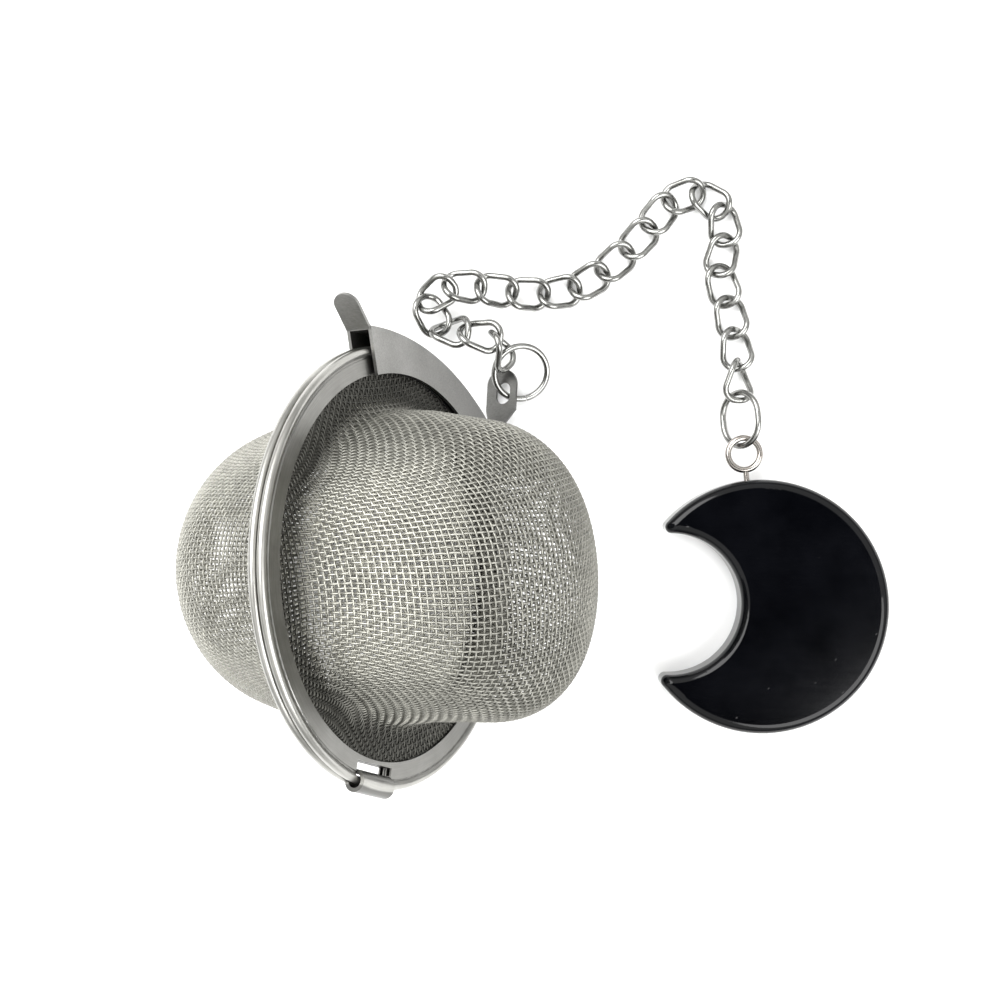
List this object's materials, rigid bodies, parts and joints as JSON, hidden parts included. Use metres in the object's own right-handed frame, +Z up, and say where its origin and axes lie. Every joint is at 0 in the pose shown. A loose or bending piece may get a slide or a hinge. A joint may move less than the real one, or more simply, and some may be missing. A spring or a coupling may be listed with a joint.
{
  "type": "tea infuser",
  "caption": "Hinged mesh tea ball with a clip-over latch, a curb chain and a glossy dark crescent charm.",
  "frame": {"origin": "on the table under the centre of the whole part's bounding box", "axes": "+Z up from the table; +X from the ball towards the charm, +Y from the charm towards the chain"},
  "size_m": [0.0858, 0.0738, 0.044],
  "materials": {
    "pressed_steel": "satin",
    "woven_steel": "satin",
    "latch_steel": "brushed",
    "plated_wire": "polished",
    "plated_pin": "polished",
    "dark_stone": "polished"
  },
  "bodies": {
    "base_half": {"far_rim": "pressed_steel", "far_mesh": "woven_steel", "latch_pin": "plated_wire"},
    "lid": {"near_rim": "pressed_steel", "near_mesh": "woven_steel"},
    "latch_body": {"latch": "latch_steel"},
    "ring": {"jump_ring": "plated_wire"},
    "link_01": {"chain_link_01": "plated_wire"},
    "link_02": {"chain_link_02": "plated_wire"},
    "link_03": {"chain_link_03": "plated_wire"},
    "link_04": {"chain_link_04": "plated_wire"},
    "link_05": {"chain_link_05": "plated_wire"},
    "link_06": {"chain_link_06": "plated_wire"},
    "link_07": {"chain_link_07": "plated_wire"},
    "link_08": {"chain_link_08": "plated_wire"},
    "link_09": {"chain_link_09": "plated_wire"},
    "link_10": {"chain_link_10": "plated_wire"},
    "link_11": {"chain_link_11": "plated_wire"},
    "link_12": {"chain_link_12": "plated_wire"},
    "link_13": {"chain_link_13": "plated_wire"},
    "link_14": {"chain_link_14": "plated_wire"},
    "link_15": {"chain_link_15": "plated_wire"},
    "link_16": {"chain_link_16": "plated_wire"},
    "link_17": {"chain_link_17": "plated_wire"},
    "link_18": {"chain_link_18": "plated_wire"},
    "link_19": {"chain_link_19": "plated_wire"},
    "link_20": {"chain_link_20": "plated_wire"},
    "link_21": {"chain_link_21": "plated_wire"},
    "end_ring": {"charm_ring": "plated_wire"},
    "charm": {"eye_pin": "plated_pin", "moon_charm": "dark_stone"}
  },
  "joints": [
    {"name": "lid_hinge", "type": "hinge", "parent": "base_half", "child": "lid", "pos_m": [-0.01966, -0.03485, 0.02884], "axis": [0.4891, -0.2855, -0.8242], "range_deg": [0, 150]},
    {"name": "latch_pivot", "type": "hinge", "parent": "base_half", "child": "latch_body", "pos_m": [-0.00709, 0.0036, 0.00267], "axis": [-0.8656, -0.0423, -0.499], "range_deg": [0, 40]},
    {"name": "ring_swing", "type": "hinge", "parent": "latch_body", "child": "ring", "pos_m": [-0.00503, 0.0096, 0.00169], "axis": [-0.7458, 0.5702, 0.3443], "range_deg": [-20, 20]},
    {"name": "swing_01", "type": "hinge", "parent": "ring", "child": "link_01", "pos_m": [-0.00562, 0.01385, 0.00318], "axis": [-0.5518, -0.8211, -0.1462], "range_deg": [-18, 16]},
    {"name": "swing_02", "type": "hinge", "parent": "link_01", "child": "link_02", "pos_m": [-0.00634, 0.01678, 0.00523], "axis": [-0.4084, 0.3783, -0.8307], "range_deg": [-18, 18]},
    {"name": "swing_03", "type": "hinge", "parent": "link_02", "child": "link_03", "pos_m": [-0.01048, 0.01706, 0.00481], "axis": [-0.1051, -0.5104, 0.8535], "range_deg": [-16, 18]},
    {"name": "swing_04", "type": "hinge", "parent": "link_03", "child": "link_04", "pos_m": [-0.01365, 0.01775, 0.00235], "axis": [0.5704, 0.3172, -0.7576], "range_deg": [-21, 13]},
    {"name": "swing_05", "type": "hinge", "parent": "link_04", "child": "link_05", "pos_m": [-0.01533, 0.02147, 0.00317], "axis": [-0.6235, -0.4385, 0.6473], "range_deg": [-1, 21]},
    {"name": "swing_06", "type": "hinge", "parent": "link_05", "child": "link_06", "pos_m": [-0.01144, 0.02332, 0.00385], "axis": [0.5717, -0.6715, -0.4715], "range_deg": [-18, 11]},
    {"name": "swing_07", "type": "hinge", "parent": "link_06", "child": "link_07", "pos_m": [-0.00746, 0.02275, 0.00312], "axis": [0.1125, 0.8732, 0.4741], "range_deg": [-18, 18]},
    {"name": "swing_08", "type": "hinge", "parent": "link_07", "child": "link_08", "pos_m": [-0.00353, 0.02215, 0.00199], "axis": [-0.2646, -0.7735, -0.576], "range_deg": [-18, 18]},
    {"name": "swing_09", "type": "hinge", "parent": "link_08", "child": "link_09", "pos_m": [0.00055, 0.02206, 0.00132], "axis": [0.1375, 0.7661, 0.6278], "range_deg": [-18, 18]},
    {"name": "swing_10", "type": "hinge", "parent": "link_09", "child": "link_10", "pos_m": [0.00458, 0.02287, 0.00117], "axis": [0.1087, -0.796, -0.5955], "range_deg": [-17, 18]},
    {"name": "swing_11", "type": "hinge", "parent": "link_10", "child": "link_11", "pos_m": [0.00798, 0.02514, 0.00119], "axis": [-0.408, 0.6791, 0.6102], "range_deg": [-18, 18]},
    {"name": "swing_12", "type": "hinge", "parent": "link_11", "child": "link_12", "pos_m": [0.01103, 0.02791, 0.00119], "axis": [0.5266, -0.6058, -0.5963], "range_deg": [-18, 18]},
    {"name": "swing_13", "type": "hinge", "parent": "link_12", "child": "link_13", "pos_m": [0.01375, 0.03102, 0.00143], "axis": [-0.6315, 0.5286, 0.5672], "range_deg": [-18, 18]},
    {"name": "swing_14", "type": "hinge", "parent": "link_13", "child": "link_14", "pos_m": [0.01621, 0.03434, 0.00125], "axis": [0.5832, -0.4685, -0.6636], "range_deg": [-18, 11]},
    {"name": "swing_15", "type": "hinge", "parent": "link_14", "child": "link_15", "pos_m": [0.02013, 0.03544, 0.00135], "axis": [-0.2628, 0.6876, 0.6769], "range_deg": [-6, 18]},
    {"name": "swing_16", "type": "hinge", "parent": "link_15", "child": "link_16", "pos_m": [0.02309, 0.03254, 0.00141], "axis": [-0.4994, -0.6784, -0.5388], "range_deg": [-18, 7]},
    {"name": "swing_17", "type": "hinge", "parent": "link_16", "child": "link_17", "pos_m": [0.02323, 0.02845, 0.00125], "axis": [0.8634, 0.1039, 0.4937], "range_deg": [-15, 18]},
    {"name": "swing_18", "type": "hinge", "parent": "link_17", "child": "link_18", "pos_m": [0.0219, 0.0246, 0.00134], "axis": [-0.7939, 0.2173, -0.5679], "range_deg": [-12, 18]},
    {"name": "swing_19", "type": "hinge", "parent": "link_18", "child": "link_19", "pos_m": [0.02345, 0.02084, 0.0011], "axis": [0.7731, 0.2184, 0.5955], "range_deg": [-18, 18]},
    {"name": "swing_20", "type": "hinge", "parent": "link_19", "child": "link_20", "pos_m": [0.02426, 0.0168, 0.00136], "axis": [-0.7889, -0.1988, -0.5814], "range_deg": [-18, 18]},
    {"name": "swing_21", "type": "hinge", "parent": "link_20", "child": "link_21", "pos_m": [0.02464, 0.01271, 0.0019], "axis": [0.8754, 0.1488, 0.46], "range_deg": [-18, 18]},
    {"name": "swing_end_ring", "type": "hinge", "parent": "link_21", "child": "end_ring", "pos_m": [0.02443, 0.00865, 0.00264], "axis": [-0.9983, 0.0421, 0.0411], "range_deg": [-18, 18]},
    {"name": "swing_charm", "type": "hinge", "parent": "end_ring", "child": "charm", "pos_m": [0.02499, 0.00296, 0.0031], "axis": [0.621, 0.1223, 0.7742], "range_deg": [-18, 18]}
  ]
}
